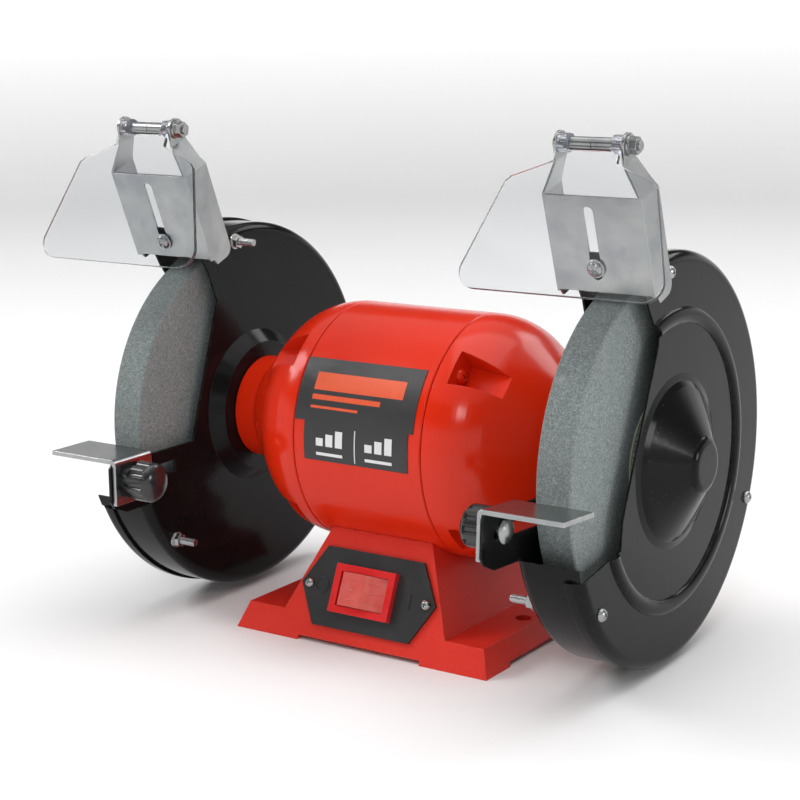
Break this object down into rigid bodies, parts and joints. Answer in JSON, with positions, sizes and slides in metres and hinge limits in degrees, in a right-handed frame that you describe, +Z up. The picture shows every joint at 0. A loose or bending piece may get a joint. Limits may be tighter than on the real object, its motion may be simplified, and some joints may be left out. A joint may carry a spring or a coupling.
{
  "type": "bench grinder",
  "caption": "Motor-driven bench grinder with a guarded abrasive wheel at each end, sliding tool rests, hinged clear eye shields and a rocker switch on a bolt-down base.",
  "frame": {"origin": "on the bench, midway between the two bench bolts", "axes": "+X along the shaft to the right-hand wheel, +Y to the back, +Z up; the user stands at -Y"},
  "size_m": [0.399, 0.2554, 0.2967],
  "materials": {
    "textured_red_paint": "fine textured red paint over cast metal",
    "red_enamel": "gloss orange-red enamel",
    "black_enamel": "gloss black enamel on pressed steel",
    "zinc_plate": "satin zinc plating",
    "bright_steel": "ground and lightly oiled",
    "electrical_steel": "varnished laminations",
    "cast_aluminium": "as cast",
    "copper_wire": "enamelled copper wire",
    "vitrified_abrasive": "coarse open grey abrasive",
    "white_plastic": "moulded, matte",
    "blotter_paper": "thick compressed paper",
    "gloss_black_plastic": "moulded, glossy",
    "clear_plastic": "clear polycarbonate",
    "satin_black_plastic": "moulded, satin",
    "gloss_red_plastic": "moulded, glossy",
    "translucent_red_plastic": "moulded, translucent",
    "wire_insulation": "smooth insulation",
    "label_film": "printed film, satin"
  },
  "bodies": {
    "frame": {"base": "textured_red_paint", "bottom_plate": "zinc_plate", "bottom_plate_screws": "zinc_plate", "motor_mount_screws": "zinc_plate", "motor_shell": "red_enamel", "left_end_bell": "red_enamel", "right_end_bell": "red_enamel", "tie_bolts": "red_enamel", "tie_bolt_nuts": "zinc_plate", "stator_core": "electrical_steel", "stator_windings": "copper_wire", "bearing_outer_rings": "bright_steel", "left_guard_pan": "black_enamel", "right_guard_pan": "black_enamel", "left_guard_cover": "black_enamel", "right_guard_cover": "black_enamel", "guard_mount_screws": "zinc_plate", "guard_screws": "zinc_plate", "guard_nuts": "zinc_plate", "bracket_screws": "zinc_plate", "bracket_nuts": "zinc_plate", "switch_plate": "satin_black_plastic", "switch_plate_screws": "zinc_plate", "switch_frame": "gloss_red_plastic", "capacitor": "white_plastic", "terminal_block": "white_plastic", "cable_gland": "satin_black_plastic", "gland_nut": "satin_black_plastic", "wiring": "wire_insulation", "label_plate": "label_film"},
    "rotor": {"shaft": "bright_steel", "bearing_inner_rings": "bright_steel", "bearing_balls": "bright_steel", "rotor_core": "electrical_steel", "rotor_end_rings": "cast_aluminium", "left_wheel": "vitrified_abrasive", "right_wheel": "vitrified_abrasive", "wheel_bushes": "white_plastic", "inner_wheel_flanges": "bright_steel", "outer_wheel_flanges": "bright_steel", "blotters": "blotter_paper", "arbor_nuts": "zinc_plate"},
    "left_rest": {"left_tool_rest": "zinc_plate", "left_clamp_bolt": "zinc_plate"},
    "right_rest": {"right_tool_rest": "zinc_plate", "right_clamp_bolt": "zinc_plate"},
    "left_knob": {"left_clamp_knob": "gloss_black_plastic"},
    "right_knob": {"right_clamp_knob": "gloss_black_plastic"},
    "left_bracket": {"left_shield_bracket": "zinc_plate", "left_hinge_bolt": "zinc_plate", "left_hinge_nut": "zinc_plate", "left_hinge_sleeves": "zinc_plate"},
    "right_bracket": {"right_shield_bracket": "zinc_plate", "right_hinge_bolt": "zinc_plate", "right_hinge_nut": "zinc_plate", "right_hinge_sleeves": "zinc_plate"},
    "left_shield": {"left_eye_shield": "clear_plastic"},
    "right_shield": {"right_eye_shield": "clear_plastic"},
    "rocker": {"switch_rocker": "translucent_red_plastic"}
  },
  "joints": [
    {"name": "rotor_spin", "type": "hinge", "parent": "frame", "child": "rotor", "pos_m": [0, 0.008, 0.117], "axis": [1, 0, 0], "continuous": true},
    {"name": "left_rest_slide", "type": "slide", "parent": "frame", "child": "left_rest", "axis": [0, -1, 0], "range_m": [-0.0012, 0.007]},
    {"name": "left_knob_turn", "type": "hinge", "parent": "left_rest", "child": "left_knob", "pos_m": [-0.11, -0.1095, 0.0945], "axis": [1, 0, 0], "range_deg": [-300, 60]},
    {"name": "left_bracket_slide", "type": "slide", "parent": "frame", "child": "left_bracket", "axis": [0, -0.3746, 0.9272], "range_m": [-0.006, 0]},
    {"name": "left_shield_hinge", "type": "hinge", "parent": "left_bracket", "child": "left_shield", "pos_m": [-0.1448, -0.05866, 0.2902], "axis": [-1, 0, 0], "range_deg": [-8, 100]},
    {"name": "right_rest_slide", "type": "slide", "parent": "frame", "child": "right_rest", "axis": [0, -0.9981, 0.061], "range_m": [-0.006, 0.007]},
    {"name": "right_knob_turn", "type": "hinge", "parent": "right_rest", "child": "right_knob", "pos_m": [0.11, -0.11065, 0.10171], "axis": [1, 0, 0], "range_deg": [-300, 60]},
    {"name": "right_bracket_slide", "type": "slide", "parent": "frame", "child": "right_bracket", "axis": [0, -0.3173, 0.9483], "range_m": [-0.003, 0.004]},
    {"name": "right_shield_hinge", "type": "hinge", "parent": "right_bracket", "child": "right_shield", "pos_m": [0.1392, -0.0467, 0.29015], "axis": [-1, 0, 0], "range_deg": [-8, 100]},
    {"name": "switch_rock", "type": "hinge", "parent": "frame", "child": "rocker", "pos_m": [-0.0015, -0.04972, 0.03032], "axis": [0, 0.3987, 0.9171], "range_deg": [-18, 0]}
  ]
}
